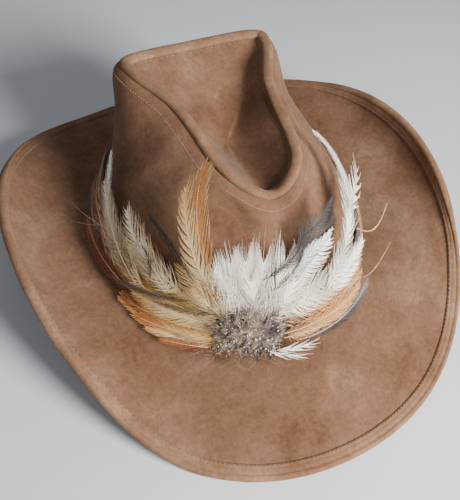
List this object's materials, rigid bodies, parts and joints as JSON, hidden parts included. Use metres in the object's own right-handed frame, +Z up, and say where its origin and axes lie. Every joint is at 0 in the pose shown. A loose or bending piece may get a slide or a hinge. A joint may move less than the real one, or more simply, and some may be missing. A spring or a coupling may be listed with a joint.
{
  "type": "western hat",
  "caption": "Brown suede western hat with a brim curled up at the sides, a crown creased to a front pinch and a lift-off band of mixed feathers.",
  "frame": {"origin": "centre of the bounding box's bottom face, on the surface that the brim rests on", "axes": "+Z up, -Y towards the front of the hat, +X towards the wearer's left"},
  "size_m": [0.3401, 0.3787, 0.1339],
  "materials": {
    "binding_suede": "folded brown suede, rubbed lighter on the edge",
    "buckram": "stiffened open-weave cotton",
    "cord": "waxed cotton cord",
    "feather_black": "black-brown glossy feather barbs",
    "feather_brown": "dark brown feather barbs",
    "feather_cream": "cream feather barbs",
    "feather_ginger": "cream feather barbs with ginger edges",
    "feather_grey": "grey feather barbs",
    "feather_olive": "olive-gold feather barbs",
    "feather_peach": "peach feather barbs",
    "feather_rust": "rust-red feather barbs",
    "feather_speckled": "speckled grey, black and white small feathers",
    "feather_white": "white feather barbs",
    "felt": "dark brown wool felt",
    "keeper_leather": "brown suede tab",
    "label_cloth": "plain woven cloth with no text",
    "lining": "brown satin lining",
    "ribbon": "dark brown grosgrain ribbon",
    "suede": "napped brown suede with mottled nap",
    "sweatband_leather": "smooth brown leather",
    "wire": "drawn spring wire"
  },
  "bodies": {
    "hat": {"crown_side": "suede", "crown_stiffener": "buckram", "crown_tip": "suede", "tip_stiffener": "buckram", "lining_side": "lining", "lining_tip": "lining", "sweatband": "sweatband_leather", "sweatband_reed": "cord", "sweatband_bow": "ribbon", "size_tab": "label_cloth", "tip_welt": "binding_suede", "welt_cord": "cord", "brim_top": "suede", "brim_stiffener": "buckram", "brim_under": "suede", "brim_binding": "binding_suede", "brim_wire": "wire"},
    "feather_band": {"band_backing": "felt", "band_keeper": "keeper_leather", "feather_ginger_upright": "feather_ginger", "feather_cream_behind": "feather_cream", "feather_fan_left": "feather_white", "feather_fan_middle": "feather_white", "feather_fan_right": "feather_white", "feather_black_right": "feather_black", "feather_white_right": "feather_white", "feather_plume_right": "feather_white", "feather_long_right": "feather_white", "feather_peach_upper": "feather_peach", "feather_peach_lower": "feather_peach", "feather_grey_right": "feather_grey", "feather_spikes_low": "feather_white", "feather_wisp_upper": "feather_peach", "feather_wisp_lower": "feather_peach", "feather_olive_upper": "feather_olive", "feather_olive_lower": "feather_olive", "feather_rust_low": "feather_rust", "feather_brown_left": "feather_brown", "feather_cream_left": "feather_cream", "feather_black_left": "feather_black", "feather_plume_left_high": "feather_cream", "feather_plume_left_mid": "feather_white", "feather_rust_left": "feather_rust", "feather_side_left_1": "feather_rust", "feather_side_right_1": "feather_rust", "feather_side_left_2": "feather_cream", "feather_side_right_2": "feather_cream", "feather_side_left_3": "feather_brown", "feather_side_right_3": "feather_brown", "feather_side_left_4": "feather_rust", "feather_side_right_4": "feather_rust", "feather_side_left_5": "feather_cream", "feather_side_right_5": "feather_cream", "feather_side_left_6": "feather_brown", "feather_side_right_6": "feather_brown", "speckled_pad": "feather_speckled"}
  },
  "joints": [
    {"name": "band_lift", "type": "slide", "parent": "hat", "child": "feather_band", "axis": [0, 0.0872, 0.9962], "range_m": [0, 0.15]}
  ]
}
